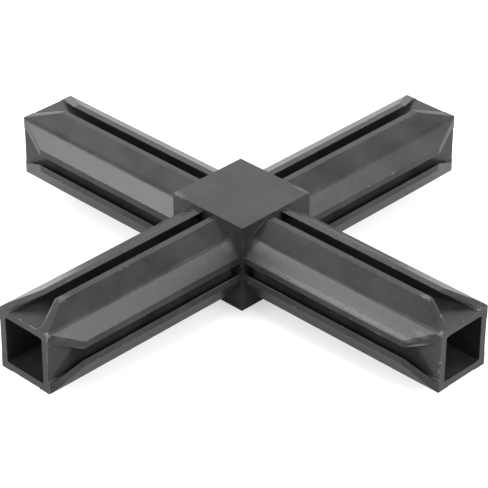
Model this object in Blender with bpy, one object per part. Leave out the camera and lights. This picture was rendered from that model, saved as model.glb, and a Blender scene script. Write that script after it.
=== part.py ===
"""Four-way flat connector for square tubes, moulded in one piece from dark plastic.

A cube-shaped head carries four hollow legs in one plane. A square tube is pushed over
each leg until its end meets the head. Each leg is a square hollow core, and from each of
its four corners two wings flare out to a pair of narrow lips on every face. The lips
grip the inside of the tube, and a slot runs between them.

Metres, Z up. The origin is the middle of the underside of the head, and the legs lie
along X and Y. Outlines of the leg are drawn in its own section: across, then up.
"""
import bpy
import bmesh
from math import acos, atan2, ceil, cos, hypot, pi, sin, tan
from mathutils import Matrix, Vector

# The tube that the connector is made for
TUBE_SIDE = 0.025
TUBE_WALL = 0.001
LIP_SQUEEZE = 0.0002

# Head
HEAD_EDGE_RADIUS = 0.00035

# Legs
LEG_LENGTH = 0.0628
CORE_WALL = 0.0020
BORE_CORNER_RADIUS = 0.0006

# Wings, the lips they end in and the ridge, proud of the core's corner, where two wings meet
WING_HEIGHT = 0.0030
WING_ROOT = 0.0023
SLOT_WIDTH = 0.0032
LIP_LAND = 0.0019
LIP_DEPTH = 0.00015
LIP_RADIUS = 0.0003
LIP_INNER_RADIUS = 0.00005
RIDGE_STAND = 0.00023
RIDGE_RADIUS = 0.0036
ROOT_RADIUS = 0.0006

# Lead-in, the sloping cut that lets a tube slide on, and the step that it leaves at the rim
LEAD_IN_LENGTH = 0.0096
LEAD_IN_STEP = 0.0003

# Fillet where the legs grow out of the head, and the most of the roots' fillet that it may take
JOINT_RADIUS = 0.00055
JOINT_SHARE = 0.9

# How far a facet may lie inside its arc, and the most of a side that the arc at its end may take
ARC_SAG = 0.000006
ARC_SHARE = 0.45
JOINT_STEPS = 3
EDGE_STEPS = 3

# Black plastic with a satin surface
PLASTIC_COLOUR = (0.028, 0.029, 0.030, 1.0)
PLASTIC_ROUGHNESS = 0.42

# Sizes that follow from the ones above
HEAD_SIDE = TUBE_SIDE
HEAD_HALF = HEAD_SIDE / 2
LIP_HEIGHT = (TUBE_SIDE - 2 * TUBE_WALL + LIP_SQUEEZE) / 2
CORE_HALF = LIP_HEIGHT - WING_HEIGHT
LEG_TIP = HEAD_HALF + LEG_LENGTH
BORE_HALF = CORE_HALF - CORE_WALL
BORE_END = CORE_HALF
OVERLAP = 0.001

# Fillet between a wing's slanting inside and the core, as far as the wing has room for it
LIP_INSIDE = SLOT_WIDTH / 2
WING_RUN = CORE_HALF - WING_ROOT - LIP_INSIDE
WING_RISE = LIP_HEIGHT - LIP_DEPTH - CORE_HALF
WING_SLANT = atan2(WING_RISE, WING_RUN)
ROOT_FILLET = min(ROOT_RADIUS, ARC_SHARE * hypot(WING_RUN, WING_RISE) * tan(WING_SLANT / 2))

# The legs' fillet at the head stays on the flat shoulder and doesn't close the roots
SHOULDER = HEAD_HALF - LIP_HEIGHT - HEAD_EDGE_RADIUS
JOINT_FILLET = min(JOINT_RADIUS, SHOULDER, JOINT_SHARE * ROOT_FILLET)

# Quarter turns: the head has four upright faces with a leg each, and a leg has four faces
QUARTERS = range(4)
QUARTER_TURN = pi / 2


def clear_scene():
    """Start from an empty file."""
    for old in list(bpy.data.objects):
        bpy.data.objects.remove(old, do_unlink=True)


def rounded(corners):
    """Outline through the corners, with an arc of each corner's own radius.

    corners is a list of (point, radius). An arc is cut short where its sides are.
    """
    outline = []
    count = len(corners)
    for i, (point, radius) in enumerate(corners):
        before = corners[i - 1][0] - point
        after = corners[(i + 1) % count][0] - point
        half_angle = before.angle(after) / 2
        longest = ARC_SHARE * min(before.length, after.length)
        setback = min(radius / tan(half_angle), longest)
        radius = setback * tan(half_angle)
        middle = (before.normalized() + after.normalized()).normalized()
        centre = point + middle * (radius / sin(half_angle))
        start = point + before.normalized() * setback - centre
        end = point + after.normalized() * setback - centre
        turn = start.angle_signed(end)
        finest = 2 * acos(1 - min(1, ARC_SAG / radius))
        steps = max(1, ceil(abs(turn) / finest))
        for k in range(steps + 1):
            outline.append(centre + Matrix.Rotation(-turn * k / steps, 2) @ start)
    return outline


def wing_corners():
    """Corners of the two wings at the leg's upper right corner, clockwise.

    The first wing rises from the top face, so it is listed from its root, over its lip
    and down to the ridge of the leg. The second is its mirror image on the side face.
    """
    wing = [
        (Vector((LIP_INSIDE + WING_RUN, CORE_HALF)), ROOT_FILLET),
        (Vector((LIP_INSIDE, CORE_HALF + WING_RISE)), LIP_INNER_RADIUS),
        (Vector((LIP_INSIDE, LIP_HEIGHT)), LIP_INNER_RADIUS),
        (Vector((LIP_INSIDE + LIP_LAND, LIP_HEIGHT)), LIP_RADIUS),
    ]
    ridge = (Vector((CORE_HALF + RIDGE_STAND, CORE_HALF + RIDGE_STAND)), RIDGE_RADIUS)
    mirrored = [(Vector((p.y, p.x)), radius) for p, radius in reversed(wing)]
    return wing + [ridge] + mirrored


def leg_section():
    """Closed outline of the leg: the wings of one corner, turned to all four."""
    corners = []
    for quarter in QUARTERS:
        turn = Matrix.Rotation(-quarter * QUARTER_TURN, 2)
        corners += [(turn @ p, radius) for p, radius in wing_corners()]
    return rounded(corners)


def grown(outline, amount):
    """The outline moved outwards by amount, each point square to its neighbours."""
    moved = []
    count = len(outline)
    for i, point in enumerate(outline):
        along = outline[(i + 1) % count] - outline[i - 1]
        moved.append(point + Vector((-along.y, along.x)).normalized() * amount)
    return moved


def solid_from_rings(name, rings):
    """Closed solid through rings of points that all have the same number of points."""
    mesh = bmesh.new()
    loops = [[mesh.verts.new(p) for p in ring] for ring in rings]
    for near, far in zip(loops, loops[1:]):
        for i in range(len(near)):
            mesh.faces.new((near[i - 1], near[i], far[i], far[i - 1]))
    mesh.faces.new(loops[0])
    mesh.faces.new(loops[-1])
    bmesh.ops.recalc_face_normals(mesh, faces=mesh.faces)
    data = bpy.data.meshes.new(name)
    mesh.to_mesh(data)
    mesh.free()
    shape = bpy.data.objects.new(name, data)
    bpy.context.collection.objects.link(shape)
    return shape


def as_tool(shape):
    """Mark a shape that only cuts or adds, and isn't a piece of its own."""
    shape.hide_render = True
    shape.display_type = 'WIRE'
    return shape


def in_leg(x, point):
    """Point of a leg's section at the distance x from the middle of the head."""
    return Vector((x, point.x, HEAD_HALF + point.y))


def turned(ring, quarter):
    """The ring of points turned by quarter turns about the head's upright axis."""
    turn = Matrix.Rotation(quarter * QUARTER_TURN, 4, 'Z')
    return [turn @ p for p in ring]


def leg_rings():
    """Rings of the leg from inside the head, through the fillet, to the tip."""
    section = leg_section()
    rings = [(HEAD_HALF - OVERLAP, JOINT_FILLET)]
    for k in range(JOINT_STEPS + 1):
        angle = k / JOINT_STEPS * QUARTER_TURN
        rings.append((HEAD_HALF + JOINT_FILLET * (1 - cos(angle)), JOINT_FILLET * (1 - sin(angle))))
    rings.append((LEG_TIP, 0.0))
    return [[in_leg(x, p) for p in grown(section, amount)] for x, amount in rings]


def bore_rings():
    """Rings of the square hollow, from its closed end in the head to beyond the tip."""
    square = [(Vector((a * BORE_HALF, b * BORE_HALF)), BORE_CORNER_RADIUS)
              for a, b in ((-1, 1), (1, 1), (1, -1), (-1, -1))]
    outline = rounded(square)
    return [[in_leg(x, p) for p in outline] for x in (BORE_END, LEG_TIP + OVERLAP)]


def lead_in_rings(side):
    """Rings of the wedge that slopes the wings down to the rim on one side of the leg.

    The cut runs from the rim to the full height of the lips over the lead-in's length,
    and the wedge reaches past the lips and past the tip.
    """
    rim = CORE_HALF + LEAD_IN_STEP
    slope = (LIP_HEIGHT - rim) / LEAD_IN_LENGTH
    inner = LEG_TIP - LEAD_IN_LENGTH - OVERLAP
    outer = LEG_TIP + OVERLAP
    profile = [
        (outer, rim - slope * OVERLAP),
        (inner, LIP_HEIGHT + slope * OVERLAP),
        (inner, LIP_HEIGHT + 2 * OVERLAP),
        (outer, LIP_HEIGHT + 2 * OVERLAP),
    ]
    spin = Matrix.Rotation(side * QUARTER_TURN, 2)
    reach = LIP_HEIGHT + OVERLAP
    return [[in_leg(x, spin @ Vector((across, up))) for x, up in profile] for across in (-reach, reach)]


def boolean(body, tool, operation):
    """Add or cut with a tool, as a live modifier of the body."""
    modifier = body.modifiers.new(tool.name, 'BOOLEAN')
    modifier.object = tool
    modifier.operation = operation
    modifier.solver = 'EXACT'


def joined_tool(name, solids):
    """One tool object made of several solids that don't touch each other."""
    parts = [solid_from_rings(name, rings) for rings in solids]
    mesh = bmesh.new()
    for part in parts:
        mesh.from_mesh(part.data)
        bpy.data.objects.remove(part, do_unlink=True)
    data = bpy.data.meshes.new(name)
    mesh.to_mesh(data)
    mesh.free()
    tool = bpy.data.objects.new(name, data)
    bpy.context.collection.objects.link(tool)
    return as_tool(tool)


def plastic():
    """Black moulded plastic with a satin surface."""
    material = bpy.data.materials.new("black_plastic")
    material.use_nodes = True
    shader = material.node_tree.nodes["Principled BSDF"]
    shader.inputs["Base Color"].default_value = PLASTIC_COLOUR
    shader.inputs["Roughness"].default_value = PLASTIC_ROUGHNESS
    shader.inputs["Metallic"].default_value = 0.0
    material.diffuse_color = PLASTIC_COLOUR
    return material


def head():
    """The cube that the tube ends stop against, flush with the tubes' outsides."""
    mesh = bmesh.new()
    bmesh.ops.create_cube(mesh, size=HEAD_SIDE)
    bmesh.ops.translate(mesh, verts=mesh.verts, vec=(0, 0, HEAD_HALF))
    bmesh.ops.bevel(mesh, geom=mesh.edges, offset=HEAD_EDGE_RADIUS, segments=EDGE_STEPS,
                    profile=0.5, affect='EDGES', clamp_overlap=True)
    data = bpy.data.meshes.new("connector_body")
    mesh.to_mesh(data)
    mesh.free()
    body = bpy.data.objects.new("connector_body", data)
    bpy.context.collection.objects.link(body)
    return body


def build():
    """Model the connector."""
    clear_scene()
    body = head()
    body.data.materials.append(plastic())
    for quarter in QUARTERS:
        leg = solid_from_rings("leg_%d" % (quarter + 1), [turned(ring, quarter) for ring in leg_rings()])
        boolean(body, as_tool(leg), 'UNION')
    for side in QUARTERS:
        wedges = [[turned(ring, quarter) for ring in lead_in_rings(side)] for quarter in QUARTERS]
        boolean(body, joined_tool("lead_in_%d" % (side + 1), wedges), 'DIFFERENCE')
    bores = [[turned(ring, quarter) for ring in bore_rings()] for quarter in QUARTERS]
    boolean(body, joined_tool("bores", bores), 'DIFFERENCE')


build()
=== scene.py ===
from math import cos, pi, radians, sin

import bmesh
import bpy
import numpy as np
from mathutils import Matrix, Vector


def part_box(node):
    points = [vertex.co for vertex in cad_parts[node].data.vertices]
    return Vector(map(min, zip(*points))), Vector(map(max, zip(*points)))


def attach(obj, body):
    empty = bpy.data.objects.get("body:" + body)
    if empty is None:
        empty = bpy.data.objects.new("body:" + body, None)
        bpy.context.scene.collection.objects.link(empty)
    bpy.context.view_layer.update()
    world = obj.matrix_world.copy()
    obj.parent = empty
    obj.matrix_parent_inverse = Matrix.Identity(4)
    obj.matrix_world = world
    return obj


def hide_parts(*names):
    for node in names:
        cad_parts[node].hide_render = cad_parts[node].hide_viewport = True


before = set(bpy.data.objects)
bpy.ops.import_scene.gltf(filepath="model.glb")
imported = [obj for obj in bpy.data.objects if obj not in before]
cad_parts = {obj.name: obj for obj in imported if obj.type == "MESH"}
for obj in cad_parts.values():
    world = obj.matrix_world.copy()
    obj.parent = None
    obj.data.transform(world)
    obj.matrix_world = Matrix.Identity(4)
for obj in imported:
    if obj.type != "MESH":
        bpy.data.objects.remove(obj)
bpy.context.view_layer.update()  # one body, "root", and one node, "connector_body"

cadLow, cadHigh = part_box("connector_body")
print("frame loaded:", sorted(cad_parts))

# The moulded body, in metres. A leg's section is drawn about the leg's axis: across, then up.
moulding = {
    "headEdge": 0.00007,  # radius of the head's edges
    "headEdgeSteps": 3,
    "coreHalf": 0.0086,  # half the side of a leg's square core
    "wingRoot": 0.0023,  # from the core's corner to the root of a wing
    "rootRadius": 0.0004,
    "slotHalf": 0.0016,  # from the middle of the slot to a lip
    "lipHeight": 0.0116,  # from the leg's axis to the flat of a lip
    "lipLand": 0.0019,  # width of that flat
    "lipDepth": 0.00015,
    "lipInnerRound": 0.00007,  # how far the rounding of a lip's edges reaches
    "lipOuterRound": 0.00011,
    "cutInnerRound": 0.000015,  # the same along the edges of the lead-in cuts
    "cutOuterRound": 0.00009,
    "ridgeStand": 0.00023,  # the ridge between two wings lies this far outside the core's corner
    "ridgeRadius": 0.0036,
    "leadIn": 0.0096,  # length of the lead-in cut
    "leadInStep": 0.00015,  # what the cut leaves on the core at the rim
    "leadInBlend": 0.0004,  # how softly the cut begins
    "boreHalf": 0.0066,
    "boreCorner": 0.0006,
    "boreEnd": 0.0086,  # where a hollow stops, from the middle of the head
    "rimRound": 0.00014,
    "boreRound": 0.00012,
    "coveAtLips": 0.00006,  # fillet at the head, where the lips and slots meet it
    "coveAtRidge": 0.00008,  # and where the leg's corner meets it
    "ridgeSheen": 0.5,  # painted sheen line on the ridge, worn raggedly, beside the wear of an edge
    "edgeMargin": 0.0004,  # width of the band beside an edge over which its wear fades
    "mouthWear": 0.6,  # and the wear of the hollow's edge
    "rootSteps": 9,  # faces across the fillet at the root of a wing
    "roundSteps": 4,  # across a rounded edge of a lip
    "ridgeSteps": 6,  # across half a ridge
    "slantShares": (0.25, 0.5, 0.8),  # where the lines on the inside of a wing lie
    "plateShares": (0.2, 0.5, 0.8),  # on its outside
    "landShares": (0.3, 0.7),  # and on the flat of a lip
    "ringsInCove": 8,  # rings of points along a leg, from its fillet at the head
    "ringsOnLeg": 5,
    "ringsAtBlend": 6,
    "ringsOnCut": 20,
    "ringsAtRim": 5,
    "clearOfCove": 1.3,  # the first ring on the leg, in radii of the fillet
    "coveGrowth": 0.6,  # share of a plate over which the fillet grows
    "mergeWithin": 0.000001,
    "sharpAngle": 50,  # degrees
    "flatWeight": 80,  # how much large faces weigh in the shading
}

headHalf = (cadHigh.z - cadLow.z) / 2
legTip = cadHigh.x


def conic(first, corner, last, steps):
    # Round corner: ((1-t)^2 A + 2t(1-t) w C + t^2 B) / ((1-t)^2 + 2t(1-t) w + t^2), where w is the
    # sine of half the angle between the sides. It is a true arc if A and B are equally far from C.
    toFirst = first - corner
    toLast = last - corner
    lengths = np.linalg.norm(toFirst, axis=-1) * np.linalg.norm(toLast, axis=-1)
    cosine = np.sum(toFirst * toLast, axis=-1) / np.maximum(lengths, 1e-12)
    weight = np.sqrt((1 - cosine) / 2)[..., None, None]
    t = np.linspace(0, 1, steps + 1)[:, None]
    a, c, b = (p[..., None, :] for p in (first, corner, last))
    top = (1 - t) ** 2 * a + 2 * t * (1 - t) * weight * c + t ** 2 * b
    return top / ((1 - t) ** 2 + 2 * t * (1 - t) * weight + t ** 2)


def roundCorner(before, corner, after, radius, steps):
    # True arc: its ends lie radius / tan(half the angle) from the corner along both sides
    sides = [(p - corner) / np.linalg.norm(p - corner) for p in (before, after)]
    halfAngle = np.arccos(sides[0] @ sides[1]) / 2
    reach = radius / np.tan(halfAngle)
    return conic(corner + sides[0] * reach, corner, corner + sides[1] * reach, steps)


def straight(first, last, shares):
    # Points at shares of the way: P = A + (B - A) share
    return first + (last - first) * np.asarray(shares)[:, None]


def distances(line):
    # Running sum of the lengths of a line's steps
    return np.concatenate(([0], np.cumsum(np.linalg.norm(np.diff(line, axis=0), axis=1))))


def pointsAt(line, places):
    # Points of a line at distances along it
    along = distances(line)
    return np.stack([np.interp(places, along, line[:, k]) for k in (0, 1)], axis=-1)


def wingLines(m):
    # The two lines that bound a wing. The inner one runs from the middle of the slot's floor up the
    # wing's slanting inside to the lip. The outer one runs from the leg's ridge up the plate to the lip.
    floorMiddle = np.array((0, m["coreHalf"]))
    root = np.array((m["coreHalf"] - m["wingRoot"], m["coreHalf"]))
    lipLow = np.array((m["slotHalf"], m["lipHeight"] - m["lipDepth"]))
    lipTop = np.array((m["slotHalf"], m["lipHeight"]))
    lipOut = np.array((m["slotHalf"] + m["lipLand"], m["lipHeight"]))
    ridge = np.full(2, m["coreHalf"] + m["ridgeStand"])
    rootArc = roundCorner(floorMiddle, root, lipLow, m["rootRadius"], m["rootSteps"])
    lowArc = roundCorner(root, lipLow, lipTop, m["lipInnerRound"], m["roundSteps"])
    slant = straight(rootArc[-1], lowArc[0], m["slantShares"])
    inner = np.concatenate((floorMiddle[None], rootArc, slant, lowArc, lipTop[None]))
    steps = m["ridgeSteps"]
    ridgeArc = roundCorner(lipOut[::-1], ridge, lipOut, m["ridgeRadius"], 2 * steps)[steps:]
    margin = m["edgeMargin"] / np.linalg.norm(lipOut - ridgeArc[-1])
    plate = straight(ridgeArc[-1], lipOut, (*m["plateShares"], 1 - margin, 1))
    outer = np.concatenate((ridgeArc, plate))
    return inner, outer


innerLine, outerLine = wingLines(moulding)


def halfFace(m, heights):
    # Half a face of the leg for each height of the wing: its floor, the wing's inside, the flat at
    # that height and the plate down to the ridge. Points above the height are held at its edge.
    inner, outer = distances(innerLine), distances(outerLine)
    innerEdge = np.interp(heights, innerLine[:, 1], inner)
    outerEdge = np.interp(heights, outerLine[:, 1], outer)
    cut = np.clip((m["lipHeight"] - heights) / m["lipDepth"], 0, 1)
    innerReach = m["lipInnerRound"] + (m["cutInnerRound"] - m["lipInnerRound"]) * cut
    outerReach = m["lipOuterRound"] + (m["cutOuterRound"] - m["lipOuterRound"]) * cut
    innerStop = (innerEdge - innerReach)[:, None]
    outerStop = (outerEdge - outerReach)[:, None]
    innerPart = pointsAt(innerLine, np.minimum(inner[:-1], innerStop))
    outerPart = pointsAt(outerLine, np.minimum(outer[-2::-1], outerStop))
    innerCorner, outerCorner = pointsAt(innerLine, innerEdge), pointsAt(outerLine, outerEdge)
    flatFirst = innerCorner + np.stack((innerReach, 0 * innerReach), axis=-1)
    flatLast = outerCorner - np.stack((outerReach, 0 * outerReach), axis=-1)
    innerRound = conic(pointsAt(innerLine, innerStop[:, 0]), innerCorner, flatFirst, m["roundSteps"])
    outerRound = conic(flatLast, outerCorner, pointsAt(outerLine, outerStop[:, 0]), m["roundSteps"])
    shares = np.asarray(m["landShares"])[:, None]
    flat = flatFirst[:, None] + (flatLast - flatFirst)[:, None] * shares
    return np.concatenate((innerPart, innerRound, flat, outerRound, outerPart), axis=1)


def allRound(half):
    # Mirrors half a face about the leg's diagonal, across and up swapped, then turns that quarter
    # of the outline to all four: (a, u), (u, -a), (-a, -u), (-u, a)
    quarter = np.concatenate((half, half[:, -2:0:-1, ::-1]), axis=1)
    a, u = quarter[..., 0], quarter[..., 1]
    turns = ((a, u), (u, -a), (-a, -u), (-u, a))
    return np.concatenate([np.stack(turn, axis=-1) for turn in turns], axis=1)


def spread(values):
    # The same mirroring and turning for one value to each point of half a face
    return np.tile(np.concatenate((values, values[-2:0:-1])), 4)


def wingHeight(m, x):
    # Height of the wings along the leg: full, then down the straight lead-in cut to the rim. A
    # parabola joins the two over the blend on each side of where they meet.
    rim = m["coreHalf"] + m["leadInStep"]
    slope = (m["lipHeight"] - rim) / m["leadIn"]
    drop = slope * (x - (legTip - m["leadIn"]))
    blend = slope * m["leadInBlend"]
    soft = (drop + blend) ** 2 / (4 * blend)
    return m["lipHeight"] - np.where(drop < -blend, 0, np.where(drop > blend, drop, soft))


def squareOutline(m, outline):
    # The hollow's rounded square, one point for each point of the outline, in the same direction:
    # the ray meets the square, and a point in a corner moves onto the corner's arc
    onSquare = outline * m["boreHalf"] / np.max(np.abs(outline), axis=-1, keepdims=True)
    inside = m["boreHalf"] - m["boreCorner"]
    centre = np.clip(onSquare, -inside, inside)
    out = onSquare - centre
    return centre + out / np.linalg.norm(out, axis=-1, keepdims=True) * m["boreCorner"]


def outlineWearAndSheen(m):
    # Wear around a leg's outline: 1 on the rounded edges of the lips, less on the ridge, where it is a
    # painted sheen line, 0 between
    rounded = np.ones(m["roundSteps"] + 1)
    half = (np.zeros(len(innerLine) - 1), rounded, np.zeros(len(m["landShares"])), rounded,
            np.zeros(len(outerLine) - 2), (m["ridgeSheen"],))
    return spread(np.concatenate(half))


def coveRadius(m):
    # Radius of the fillet at the head around the outline: small at the lips, then down the plate
    # g^2 (3 - 2g) of the way to the ridge's radius, where g runs from 0 to 1 over coveGrowth
    plateShare = 1 - distances(outerLine)[-2::-1] / distances(outerLine)[-1]
    grow = np.clip(plateShare / m["coveGrowth"], 0, 1)
    still = len(innerLine) - 1 + 2 * (m["roundSteps"] + 1) + len(m["landShares"])
    grow = np.concatenate((np.zeros(still), grow * grow * (3 - 2 * grow)))
    return m["coveAtLips"] + (m["coveAtRidge"] - m["coveAtLips"]) * spread(grow)


def coveRings(m, wear):
    # Rings of that fillet, a quarter circle: x = head + r (1 - cos t), and out from the outline by
    # r (1 - sin t)
    outline = allRound(halfFace(m, np.array([m["lipHeight"]])))[0]
    radius = coveRadius(m)
    along = np.roll(outline, -1, axis=0) - np.roll(outline, 1, axis=0)
    outwards = np.stack((-along[:, 1], along[:, 0]), axis=-1)
    outwards /= np.linalg.norm(outwards, axis=-1, keepdims=True)
    turn = np.linspace(0, pi / 2, m["ringsInCove"])[:, None]
    x = headHalf + radius * (1 - np.cos(turn))
    points = outline + outwards * (radius * (1 - np.sin(turn)))[..., None]
    return x, points, wear * np.sin(turn)


def wingRings(m):
    # Rings of the section from the fillet to the rim, close together where the lead-in begins. The
    # last of them lie on the rim's quarter circle: x = start + r sin t
    cutStart, blend = legTip - m["leadIn"], m["leadInBlend"]
    rimStart = legTip - m["rimRound"]
    turn = np.linspace(0, pi / 2, m["ringsAtRim"])
    x = np.concatenate((
        np.linspace(headHalf + m["clearOfCove"] * m["coveAtRidge"], cutStart - 2 * blend, m["ringsOnLeg"]),
        np.linspace(cutStart - blend, cutStart + blend, m["ringsAtBlend"]),
        np.linspace(cutStart + 2 * blend, rimStart - m["edgeMargin"], m["ringsOnCut"]),
        rimStart + m["rimRound"] * np.sin(turn),
    ))
    return x, allRound(halfFace(m, wingHeight(m, x)))


def boreRings(m, rim, bore, inwards):
    # Rings from the rim over the leg's end into the hollow: the flat end, a quarter circle with
    # x = tip - r (1 - sin t), in from the hollow's outline by r (1 - cos t), then straight down
    around = np.zeros(len(bore))
    flatEnd = rim + inwards * m["edgeMargin"]
    turn = np.linspace(pi / 2, 0, m["ringsAtRim"])[:, None]
    mouthX = legTip - m["boreRound"] * (1 - np.sin(turn)) + around
    mouth = bore - inwards * (m["boreRound"] * (1 - np.cos(turn)))[..., None]
    depths = (legTip - m["edgeMargin"], (legTip + m["boreEnd"]) / 2, m["boreEnd"])
    deepX = np.array(depths)[:, None] + around
    deep = np.tile(bore, (len(depths), 1, 1))
    x = np.concatenate((legTip + around[None], mouthX, deepX))
    wear = np.concatenate((around[None], 0 * mouthX + m["mouthWear"], 0 * deepX))
    return x, np.concatenate((flatEnd[None], mouth, deep)), wear


def legRings(m):
    # Rings from the head's face out over the fillet, along the leg, down the lead-in, round the rim,
    # across the end and back into the hollow. At the rim they move inwards by r (1 - cos t). Each
    # point has its x and its place in the section, and its edge wear, with the ridge's painted sheen.
    wear = outlineWearAndSheen(m)
    coveX, cove, coveWear = coveRings(m, wear)
    x, rings = wingRings(m)
    bore = squareOutline(m, rings[-1])
    inwards = bore - rings[-1]
    inwards /= np.linalg.norm(inwards, axis=-1, keepdims=True)
    turn = np.linspace(0, pi / 2, m["ringsAtRim"])[:, None, None]
    rings[-len(turn):] += inwards * (m["rimRound"] * (1 - np.cos(turn)))
    legWear = np.tile(wear, (len(x), 1))
    legWear[1 - len(turn):] = 1
    boreX, inside, boreWear = boreRings(m, rings[-1], bore, inwards)
    allX = np.concatenate((coveX, x[:, None] + 0 * wear, boreX))
    points = np.concatenate((cove, rings, inside))
    wears = np.concatenate((coveWear, legWear, boreWear))
    return np.concatenate((allX[..., None], points), axis=-1), wears


def gridFaces(rows, columns, closed):
    # Quads of a grid of points that are numbered row by row. A closed grid joins its last column
    # to its first.
    number = np.arange(rows * columns).reshape(rows, columns)
    if closed:
        number = np.concatenate((number, number[:, :1]), axis=1)
    corners = (number[:-1, :-1], number[1:, :-1], number[1:, 1:], number[:-1, 1:])
    return np.stack([c.ravel() for c in corners], axis=-1)


def headLines(m):
    # Lines across a face of the head: tangents of even angles in the rounded edge, then the flat
    angles = np.linspace(pi / 4, 0, m["headEdgeSteps"] + 1)
    outer = headHalf - m["headEdge"] + m["headEdge"] * np.tan(angles)
    return np.concatenate((-outer, [0], outer[::-1]))


def headFace(m):
    # One face of the head, outwards, across and up: each point of a flat grid is drawn to the nearest
    # point of the inner cube and set the edge's radius away from it. Only the rounded edges are worn.
    flat = headHalf - m["headEdge"]
    lines = headLines(m)
    across, up = np.meshgrid(lines, lines, indexing="ij")
    grid = np.stack((headHalf + 0 * across, across, up), axis=-1)
    near = np.clip(grid, -flat, flat)
    away = grid - near
    points = near + away / np.linalg.norm(away, axis=-1, keepdims=True) * m["headEdge"]
    beyond = np.maximum(np.abs(across), np.abs(up)) - flat
    return points, (beyond > m["mergeWithin"]).astype(float)


class Parts:
    # Gathers points, their wear and painted sheen, and faces. Faces count from the points that are already
    # there.
    def __init__(self):
        self.points, self.wear, self.faces, self.count = [], [], [], 0

    def add(self, points, wear, *faceSets):
        for faces in faceSets:
            self.faces += (faces + self.count).tolist()
        self.points.append(points.reshape(-1, 3))
        self.wear.append(wear.ravel())
        self.count += len(self.points[-1])


def turnedX(points, quarter):
    # Outwards, across, up become x, y, z with the leg's axis at the head's middle, turned by
    # quarters: x = o cos a - c sin a, y = o sin a + c cos a, z = u + half the head
    a = quarter * pi / 2
    x = points[..., 0] * round(cos(a)) - points[..., 1] * round(sin(a))
    y = points[..., 0] * round(sin(a)) + points[..., 1] * round(cos(a))
    return np.stack((x, y, points[..., 2] + headHalf), axis=-1)


def legShell(m):
    # One leg: its rings, then a fan to a middle point that closes the hollow, and a shoulder of
    # eight faces that joins the first ring, an eighth at a time, to the flat of the head's side
    rings, wears = legRings(m)
    ringCount, around = wears.shape
    flat = headHalf - m["headEdge"]
    corners = np.array(((0, 1), (1, 1), (1, 0), (1, -1), (0, -1), (-1, -1), (-1, 0), (-1, 1)))
    headRim = np.concatenate((np.full((8, 1), headHalf), corners * flat), axis=1)
    points = np.concatenate((rings.reshape(-1, 3), [[m["boreEnd"], 0, 0]], headRim))
    wear = np.append(wears, np.zeros(9))

    lastRing, middle = (ringCount - 1) * around, ringCount * around
    i = np.arange(around)
    fan = np.stack((lastRing + i, lastRing + (i + 1) % around, 0 * i + middle), axis=-1)
    k = np.arange(8)[:, None]
    eighth = around // 8
    firstRing = (k * eighth + np.arange(eighth + 1)) % around
    shoulder = np.concatenate((firstRing, middle + 1 + (k + 1) % 8, middle + 1 + k), axis=1)
    return points, wear, (gridFaces(ringCount, around, True), fan, shoulder)


def gatherParts(m):
    # Four legs, each with the rounded edges of its side of the head, then the head's top and
    # underside. A side's own flat is left to the leg's shoulder.
    parts = Parts()
    legPoints, legWear, legFaces = legShell(m)
    facePoints, faceWear = headFace(m)
    size, steps = len(facePoints), m["headEdgeSteps"]
    faces = gridFaces(size, size, False)
    onFlat = np.zeros((size - 1, size - 1), bool)
    onFlat[steps:-steps, steps:-steps] = True
    for quarter in range(4):
        parts.add(turnedX(legPoints, quarter), legWear, *legFaces)
        parts.add(turnedX(facePoints, quarter), faceWear, faces[~onFlat.ravel()])
    for side in (1, -1):
        height = headHalf + side * facePoints[..., 0]
        parts.add(np.stack((facePoints[..., 1], facePoints[..., 2], height), axis=-1), faceWear, faces)
    return parts


def buildMoulding(m):
    # One closed mesh of the parts: doubles merged, then the normals turned outwards. Edges that
    # turn by more than sharpAngle stay sharp, and large faces weigh most in the shading.
    parts = gatherParts(m)
    mesh = bpy.data.meshes.new("connectorMoulding")
    mesh.from_pydata(np.concatenate(parts.points).tolist(), [], parts.faces)
    # per point: edge wear, and the ridge's painted sheen line
    edgeWearAndSheen = mesh.attributes.new("edgeWearAndSheen", 'FLOAT', 'POINT')
    edgeWearAndSheen.data.foreach_set("value", np.concatenate(parts.wear).astype(np.float32))
    work = bmesh.new()
    work.from_mesh(mesh)
    bmesh.ops.remove_doubles(work, verts=work.verts, dist=m["mergeWithin"])
    bmesh.ops.recalc_face_normals(work, faces=work.faces)
    loose = sum(len(edge.link_faces) != 2 for edge in work.edges)
    print("moulding:", len(work.faces), "faces, edges without two faces:", loose)
    work.to_mesh(mesh)
    work.free()
    mesh.shade_smooth()
    mesh.set_sharp_from_angle(angle=radians(m["sharpAngle"]))
    piece = bpy.data.objects.new("connectorMoulding", mesh)
    bpy.context.scene.collection.objects.link(piece)
    weighted = piece.modifiers.new("weightedNormals", 'WEIGHTED_NORMAL')
    weighted.keep_sharp = True
    weighted.weight = m["flatWeight"]
    return piece


body = buildMoulding(moulding)
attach(body, "root")
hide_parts("connector_body")


def addNode(tree, kind, inputs=None, **settings):
    # Adds a node. An input takes a value, or the output of another node.
    made = tree.nodes.new(kind)
    for name, value in settings.items():
        setattr(made, name, value)
    for name, value in (inputs or {}).items():
        if isinstance(value, bpy.types.NodeSocket):
            tree.links.new(value, made.inputs[name])
        else:
            made.inputs[name].default_value = value
    return made


def newGroup(name, inputs, outputs, result='NodeSocketFloat'):
    # Empty node group. Returns the group, the sockets that come in and the node that they leave by.
    group = bpy.data.node_groups.new(name, 'ShaderNodeTree')
    for socket, kind in inputs.items():
        group.interface.new_socket(name=socket, in_out='INPUT', socket_type=kind)
    for socket in outputs:
        group.interface.new_socket(name=socket, in_out='OUTPUT', socket_type=result)
    return group, group.nodes.new("NodeGroupInput").outputs, group.nodes.new("NodeGroupOutput").inputs


def useGroup(tree, group, inputs):
    # Places a group in a material. Returns its outputs.
    return addNode(tree, "ShaderNodeGroup", inputs, node_tree=group).outputs


def maths(tree, operation, first, second, clamp=False):
    # Output of a Math node on two values
    made = addNode(tree, "ShaderNodeMath", {0: first, 1: second}, operation=operation, use_clamp=clamp)
    return made.outputs[0]


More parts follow.
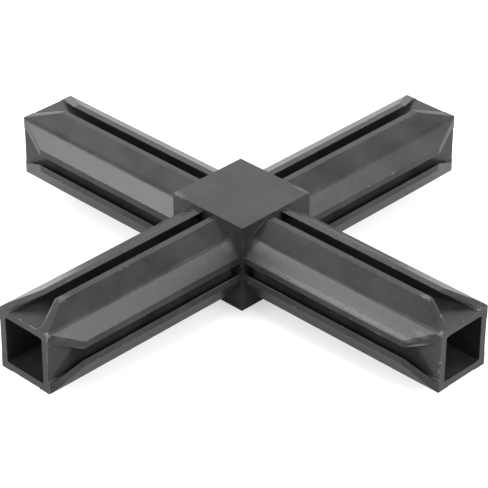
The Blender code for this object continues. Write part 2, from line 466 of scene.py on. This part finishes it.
def vectorMaths(tree, operation, first, second):
    # Output of a Vector Math node on two vectors
    return addNode(tree, "ShaderNodeVectorMath", {0: first, 1: second}, operation=operation).outputs[0]


def noiseOf(tree, vector, size, detail):
    # Noise with grains of a size in metres: Scale = 1 / size
    scale = maths(tree, 'DIVIDE', 1.0, size)
    return addNode(tree, "ShaderNodeTexNoise", {"Vector": vector, "Scale": scale, "Detail": detail}).outputs


def grainGroup():
    # Moulded surface: Height is the fine grain, Mottle the cloudy change from place to place, which
    # adds a small and a large noise, Mottle = small (1 - share) + large share
    group, given, out = newGroup("mouldedGrain", {
        "Vector": 'NodeSocketVector', "GrainSize": 'NodeSocketFloat', "CloudSize": 'NodeSocketFloat',
        "PatchSize": 'NodeSocketFloat', "PatchShare": 'NodeSocketFloat'}, ("Height", "Mottle"))
    grain = noiseOf(group, given["Vector"], given["GrainSize"], detail=2.0)[0]
    cloud = noiseOf(group, given["Vector"], given["CloudSize"], detail=3.0)[0]
    patch = noiseOf(group, given["Vector"], given["PatchSize"], detail=2.0)[0]
    mottle = addNode(group, "ShaderNodeMix", {0: given["PatchShare"], 2: cloud, 3: patch})
    group.links.new(grain, out["Height"])
    group.links.new(mottle.outputs[0], out["Mottle"])
    return group


def wearGroup():
    # Worn edges, with painted sheen where the edge mask holds it: Edge x w, where w = (noise - (1 - Amount))
    # x Steepness, held to 0..1
    group, given, out = newGroup("edgeWearAndSheen", {
        "Vector": 'NodeSocketVector', "Edge": 'NodeSocketFloat', "Size": 'NodeSocketFloat',
        "Amount": 'NodeSocketFloat', "Steepness": 'NodeSocketFloat'}, ("Mask",))
    noise = noiseOf(group, given["Vector"], given["Size"], detail=4.0)[0]
    above = maths(group, 'SUBTRACT', noise, maths(group, 'SUBTRACT', 1.0, given["Amount"]))
    worn = maths(group, 'MULTIPLY', above, given["Steepness"], clamp=True)
    group.links.new(maths(group, 'MULTIPLY', worn, given["Edge"]), out["Mask"])
    return group


def placeGroup():
    # One place of wear or of painted sheen: Strength x n, where n = (1 - |(P - Centre) / Reach|) x
    # Sharpness, held to 0..1, so an even ellipsoid with a soft rim
    group, given, out = newGroup("wearAndSheenPlace", {
        "Vector": 'NodeSocketVector', "Centre": 'NodeSocketVector', "Reach": 'NodeSocketVector',
        "Sharpness": 'NodeSocketFloat', "Strength": 'NodeSocketFloat'}, ("Mask",))
    away = vectorMaths(group, 'SUBTRACT', given["Vector"], given["Centre"])
    share = vectorMaths(group, 'DIVIDE', away, given["Reach"])
    length = addNode(group, "ShaderNodeVectorMath", {0: share}, operation='LENGTH').outputs["Value"]
    near = maths(group, 'MULTIPLY', maths(group, 'SUBTRACT', 1.0, length), given["Sharpness"], clamp=True)
    group.links.new(maths(group, 'MULTIPLY', near, given["Strength"]), out["Mask"])
    return group


def wanderGroup():
    # The place that a point reads from: P + (noise - 0.5) x Amount along each axis, for ragged rims
    group, given, out = newGroup("raggedPlace", {
        "Vector": 'NodeSocketVector', "Size": 'NodeSocketFloat', "Amount": 'NodeSocketFloat'},
        ("Vector",), 'NodeSocketVector')
    noise = noiseOf(group, given["Vector"], given["Size"], detail=3.0)["Color"]
    turn = vectorMaths(group, 'SUBTRACT', noise, (0.5, 0.5, 0.5))
    step = addNode(group, "ShaderNodeVectorMath", {0: turn, "Scale": given["Amount"]}, operation='SCALE')
    group.links.new(vectorMaths(group, 'ADD', given["Vector"], step.outputs[0]), out["Vector"])
    return group


plastic = {
    "darkColour": (0.0084, 0.0084, 0.0084, 1),
    "lightColour": (0.0168, 0.0168, 0.0168, 1),
    # the lighter colour of wear and of painted sheen and highlights
    "wornAndSheenColour": (0.075, 0.075, 0.075, 1),
    "smoothest": 0.29,
    "roughest": 0.345,
    "wornAndSheenRoughness": 0.5,
    "reflection": 0.25,
    "grainSize": 0.00035,  # metres, as are the sizes below
    "cloudSize": 0.0016,
    "patchSize": 0.009,
    "patchShare": 0.72,
    "grainDepth": 0.000004,
    "mottleRange": (0.35, 0.65),  # the noise from the dark colour to the light one
    "wearSize": 0.0012,
    "edgeWearAmount": 0.38,
    "speckSize": 0.0006,
    "speckAmount": 0.5,
    "wearSteepness": 9.0,
    "placeSharpness": 1.7,
    "raggedSize": 0.0009,
    "raggedAmount": 0.0018,
}

# Places that are light in the photo, painted lighter: wear, and where marked below painted sheen and
# highlights. The centre and the reach each way in metres, and how strongly. On faces they are smooth, on
# edges they follow the edge, and specks break up.
rubbedAndSheenFaces = {
    "lipEndLeft": ((0.0027, -0.0650, 0.0241), (0.0017, 0.0026, 0.0005), 0.4),
    "lipEndRight": ((0.0652, -0.0026, 0.0241), (0.0024, 0.0010, 0.0005), 0.6),
    # painted sheen along the plate's lower edge near the tip
    "plateFootRight": ((0.0640, -0.0113, 0.0167), (0.0070, 0.0010, 0.0010), 0.5),
    "plateTipRight": ((0.0700, -0.0100, 0.0190), (0.0030, 0.0011, 0.0010), 0.45),
    "plateFootLeft": ((0.0099, -0.0712, 0.0191), (0.0010, 0.0036, 0.0010), 0.15),
    # painted reflection where the plates meet the head
    "plateRootLeft": ((0.0098, -0.0150, 0.0200), (0.0016, 0.0030, 0.0022), 0.16),
    "plateRootRight": ((0.0155, -0.0098, 0.0200), (0.0040, 0.0016, 0.0022), 0.2),
    "headCornerLeft": ((-0.0113, -0.0120, 0.0250), (0.0036, 0.0016, 0.0010), 0.25),
    # painted sheen band along the lower edge of the plate
    "plateLowRight": ((0.0430, -0.0108, 0.0174), (0.0350, 0.0015, 0.0019), 0.2),
    "plateEdgeRight": ((0.0450, -0.0112, 0.0166), (0.0350, 0.0007, 0.0010), 0.85),
    # wear, with painted light that brightens the far plate
    "plateFarRight": ((0.0330, 0.0050, 0.0234), (0.0240, 0.0024, 0.0012), 0.3),
    "headCornerRight": ((0.0098, 0.0122, 0.0250), (0.0040, 0.0012, 0.0010), 0.25),
}
rubbedAndHighlitEdges = {
    # wear, with a painted highlight of the corner's rounding
    "rimCornerLeft": ((0.0086, -0.0753, 0.0208), (0.0012, 0.0012, 0.0024), 1.0),
    "rimTopLeft": ((0.0036, -0.0753, 0.0212), (0.0015, 0.0008, 0.0006), 0.9),
    "rimSideLeft": ((0.0087, -0.0753, 0.0148), (0.0006, 0.0007, 0.0042), 0.5),
    "rimFootLeft": ((0.0089, -0.0753, 0.0050), (0.0006, 0.0007, 0.0022), 0.5),
    # wear, with a painted highlight of the corner's rounding
    "rimCornerRight": ((0.0751, -0.0087, 0.0211), (0.0012, 0.0010, 0.0012), 1.0),
    # painted highlight along the inner edge of the cut
    "cutEndRight": ((0.0700, -0.0104, 0.0155), (0.0052, 0.0014, 0.0026), 1.0),
    "cutEndLeft": ((0.0112, -0.0672, 0.0144), (0.0012, 0.0024, 0.0010), 0.35),
    "cutTopLeft": ((0.0028, -0.0704, 0.0228), (0.0022, 0.0030, 0.0018), 0.2),
    # painted sheen along the plate's lower edge
    "lipEdgeRight": ((0.0400, -0.0116, 0.0160), (0.0330, 0.0006, 0.0006), 0.8),
    # painted highlight lines along the ridges
    "ridgeRight": ((0.0690, -0.0088, 0.0213), (0.0085, 0.0006, 0.0006), 0.5),
    "ridgeLeft": ((0.0088, -0.0260, 0.0213), (0.0006, 0.0130, 0.0006), 0.5),
    # painted highlights along the lower lips' edges
    "lowLipLeft": ((0.0116, -0.0215, 0.0109), (0.0006, 0.0100, 0.0005), 0.35),
    "lowLipRight": ((0.0215, -0.0116, 0.0109), (0.0100, 0.0006, 0.0005), 0.35),
}
speckledWearAndSheen = {
    "rimTopMiddle": ((-0.0012, -0.0753, 0.0212), (0.0018, 0.0006, 0.0004), 1.0),
    "rimSideRight": ((0.0753, -0.0087, 0.0115), (0.0007, 0.0005, 0.0060), 0.9),
    "rimCornerFar": ((0.0748, 0.0060, 0.0216), (0.0014, 0.0022, 0.0010), 1.0),
    "headCornerLeft": ((-0.0113, -0.0122, 0.0250), (0.0040, 0.0012, 0.0010), 1.0),
    "headCornerRight": ((0.0098, 0.0123, 0.0250), (0.0042, 0.0010, 0.0010), 1.0),
    "headFaceLeft": ((-0.0100, -0.0125, 0.0215), (0.0030, 0.0010, 0.0030), 0.2),
    "plateNearHeadLeft": ((0.0103, -0.0270, 0.0185), (0.0022, 0.0110, 0.0030), 0.14),
    # wear, with painted light that brightens the far plate and land
    "plateFarRight": ((0.0300, 0.0050, 0.0234), (0.0200, 0.0024, 0.0012), 0.5),
    "landFarRight": ((0.0300, 0.0026, 0.0241), (0.0160, 0.0014, 0.0004), 0.4),
    "landFarLeft": ((-0.0030, -0.0350, 0.0241), (0.0018, 0.0280, 0.0004), 0.2),
    "plateBack": ((0.0095, 0.0180, 0.0212), (0.0030, 0.0060, 0.0030), 0.2),
}


def largest(tree, masks):
    # Largest of several masks
    top = masks[0]
    for mask in masks[1:]:
        top = maths(tree, 'MAXIMUM', top, mask)
    return top


def nearAny(tree, at, group, sharpness, spots):
    # Mask of a set of places: the largest of their masks
    masks = []
    for centre, reach, strength in spots.values():
        spot = {"Vector": at, "Centre": centre, "Reach": reach, "Sharpness": sharpness, "Strength": strength}
        masks.append(useGroup(tree, group, spot)["Mask"])
    return largest(tree, masks)


def wearAndSheen(tree, at, p):
    # Where the plastic is worn or painted with sheen and highlights: the largest of the worn edges and the
    # listed faces, edges and specks
    wear, place, sharpness = wearGroup(), placeGroup(), p["placeSharpness"]
    edge = addNode(tree, "ShaderNodeAttribute", attribute_name="edgeWearAndSheen").outputs["Fac"]
    ragged = useGroup(tree, wanderGroup(), {
        "Vector": at, "Size": p["raggedSize"], "Amount": p["raggedAmount"]})["Vector"]
    wornAndSheenEdges = useGroup(tree, wear, {
        "Vector": at, "Edge": edge, "Size": p["wearSize"], "Amount": p["edgeWearAmount"],
        "Steepness": p["wearSteepness"]})["Mask"]
    onFaces = nearAny(tree, ragged, place, sharpness, rubbedAndSheenFaces)
    onEdges = maths(tree, 'MULTIPLY', nearAny(tree, at, place, sharpness, rubbedAndHighlitEdges), edge)
    specks = useGroup(tree, wear, {
        "Vector": at, "Edge": nearAny(tree, ragged, place, sharpness, speckledWearAndSheen),
        "Size": p["speckSize"], "Amount": p["speckAmount"], "Steepness": p["wearSteepness"]})["Mask"]
    return largest(tree, (wornAndSheenEdges, onFaces, onEdges, specks))


def blackPlastic(p):
    # Colour and roughness from the mottle, then towards the worn ones by the mask of wear and painted
    # sheen: value = mottled (1 - mask) + worn mask. The grain is a small bump.
    material = bpy.data.materials.new("blackPlastic")
    material.use_nodes = True
    tree = material.node_tree
    shader = tree.nodes["Principled BSDF"]
    shader.inputs["Specular IOR Level"].default_value = p["reflection"]
    at = addNode(tree, "ShaderNodeTexCoord").outputs["Object"]
    grain = useGroup(tree, grainGroup(), {
        "Vector": at, "GrainSize": p["grainSize"], "CloudSize": p["cloudSize"], "PatchSize": p["patchSize"],
        "PatchShare": p["patchShare"]})
    wornAndSheen = wearAndSheen(tree, at, p)
    darkest, lightest = p["mottleRange"]
    tone = addNode(tree, "ShaderNodeMapRange", {
        "Value": grain["Mottle"], "From Min": darkest, "From Max": lightest}).outputs[0]
    colour = addNode(tree, "ShaderNodeMix", {0: tone, 6: p["darkColour"], 7: p["lightColour"]},
                     data_type='RGBA').outputs[2]
    colour = addNode(tree, "ShaderNodeMix", {0: wornAndSheen, 6: colour, 7: p["wornAndSheenColour"]},
                     data_type='RGBA').outputs[2]
    roughness = addNode(tree, "ShaderNodeMix", {0: tone, 2: p["smoothest"], 3: p["roughest"]}).outputs[0]
    roughness = addNode(tree, "ShaderNodeMix", {0: wornAndSheen, 2: roughness, 3: p["wornAndSheenRoughness"]}).outputs[0]
    bump = addNode(tree, "ShaderNodeBump", {"Height": grain["Height"], "Distance": p["grainDepth"]})
    tree.links.new(colour, shader.inputs["Base Color"])
    tree.links.new(roughness, shader.inputs["Roughness"])
    tree.links.new(bump.outputs[0], shader.inputs["Normal"])
    return material


body.data.materials.append(blackPlastic(plastic))
print("plastic:", len(rubbedAndSheenFaces) + len(rubbedAndHighlitEdges) + len(speckledWearAndSheen), "rubbed places")

studio = {
    "floorSide": 8.0,
    "floorDrop": 0.00005,  # the floor lies this far below the part
    "floorShade": 0.45,
    "floorGlow": 0.42,  # lifts the floor to white for the camera, and lights nothing
    "floorRoughness": 0.9,
    "skyStrength": 0.984,
    "softboxDistance": 0.8,
    "softboxSide": 0.32,
    "softboxes": {  # azimuth and elevation in degrees
        "left": {"azimuth": -128, "elevation": 13, "watts": 3.9},
        "leftRim": {"azimuth": 173, "elevation": 15, "watts": 10.7},
        "leftFront": {"azimuth": -95, "elevation": 32, "watts": 7.4},
        "leftBack": {"azimuth": -164, "elevation": 51, "watts": 0.34},
        "right": {"azimuth": 29, "elevation": 13, "watts": 2.5},
        "rightFront": {"azimuth": 3, "elevation": 32, "watts": 9.1},
        "rightRim": {"azimuth": 95, "elevation": 15, "watts": 5.6},
        "back": {"azimuth": 134, "elevation": 24, "watts": 0.33},
        "backHigh": {"azimuth": 128, "elevation": 48, "watts": 0.16},
    },
}


def layFloor(s):
    # Square floor: corners at (-r, -r), (r, -r), (r, r), (-r, r)
    reach = s["floorSide"] / 2
    corners = np.array(((-1, -1, 0), (1, -1, 0), (1, 1, 0), (-1, 1, 0))) * reach
    mesh = bpy.data.meshes.new("floor")
    mesh.from_pydata(corners.tolist(), [], [(0, 1, 2, 3)])
    laid = bpy.data.objects.new("floor", mesh)
    laid.location.z = -s["floorDrop"]
    bpy.context.scene.collection.objects.link(laid)
    pale = bpy.data.materials.new("paleFloor")
    pale.use_nodes = True
    paleShader = pale.node_tree.nodes["Principled BSDF"]
    paleShader.inputs["Base Color"].default_value = (s["floorShade"], s["floorShade"], s["floorShade"], 1)
    paleShader.inputs["Roughness"].default_value = s["floorRoughness"]
    seen = addNode(pale.node_tree, "ShaderNodeLightPath").outputs["Is Camera Ray"]
    pale.node_tree.links.new(seen, paleShader.inputs["Emission Color"])
    paleShader.inputs["Emission Strength"].default_value = s["floorGlow"]
    mesh.materials.append(pale)
    return laid


def addSoftbox(name, lamp, distance, side):
    # Area light about the part, turned to face it. From the azimuth a and the elevation e it stands
    # towards (cos a cos e, sin a cos e, sin e).
    azimuth, elevation = radians(lamp["azimuth"]), radians(lamp["elevation"])
    direction = Vector((cos(azimuth) * cos(elevation), sin(azimuth) * cos(elevation), sin(elevation)))
    data = bpy.data.lights.new(name, 'AREA')
    data.size = side
    data.energy = lamp["watts"]
    softbox = bpy.data.objects.new(name, data)
    softbox.location = direction * distance
    softbox.rotation_euler = direction.to_track_quat('Z', 'Y').to_euler()
    bpy.context.scene.collection.objects.link(softbox)


floor = layFloor(studio)
sky = bpy.data.worlds.new("studio")
bpy.context.scene.world = sky
sky.use_nodes = True
background = sky.node_tree.nodes["Background"].inputs
background["Color"].default_value = (1, 1, 1, 1)
background["Strength"].default_value = studio["skyStrength"]
for name, lamp in studio["softboxes"].items():
    addSoftbox(name, lamp, studio["softboxDistance"], studio["softboxSide"])
print("studio:", len(studio["softboxes"]), "softboxes")

# Camera at the photo's angle. From the azimuth a and the elevation e it stands towards
# (sin a cos e, -cos a cos e, sin e).
view = {
    "aim": (0.00401, -0.00312, 0.0125),
    "distance": 0.63026,
    "azimuth": 44.115,  # degrees, as are the next two
    "elevation": 32.193,
    "roll": 0.282,
    "lens": 179.296,  # millimetres, as is the next one
    "sensor": 36,
}
azimuth, elevation = radians(view["azimuth"]), radians(view["elevation"])
towards = Vector((sin(azimuth) * cos(elevation), -cos(azimuth) * cos(elevation), sin(elevation)))
cameraData = bpy.data.cameras.new("camera")
cameraData.lens = view["lens"]
cameraData.sensor_width = view["sensor"]
camera = bpy.data.objects.new("camera", cameraData)
camera.location = Vector(view["aim"]) + towards * view["distance"]
level = towards.to_track_quat('Z', 'Y').to_matrix()
camera.rotation_euler = (level @ Matrix.Rotation(radians(view["roll"]), 3, 'Z')).to_euler()
bpy.context.scene.collection.objects.link(camera)
bpy.context.scene.camera = camera
bpy.context.scene.view_settings.view_transform = 'Standard'
print("camera:", view["lens"], "mm lens,", view["distance"], "m away")
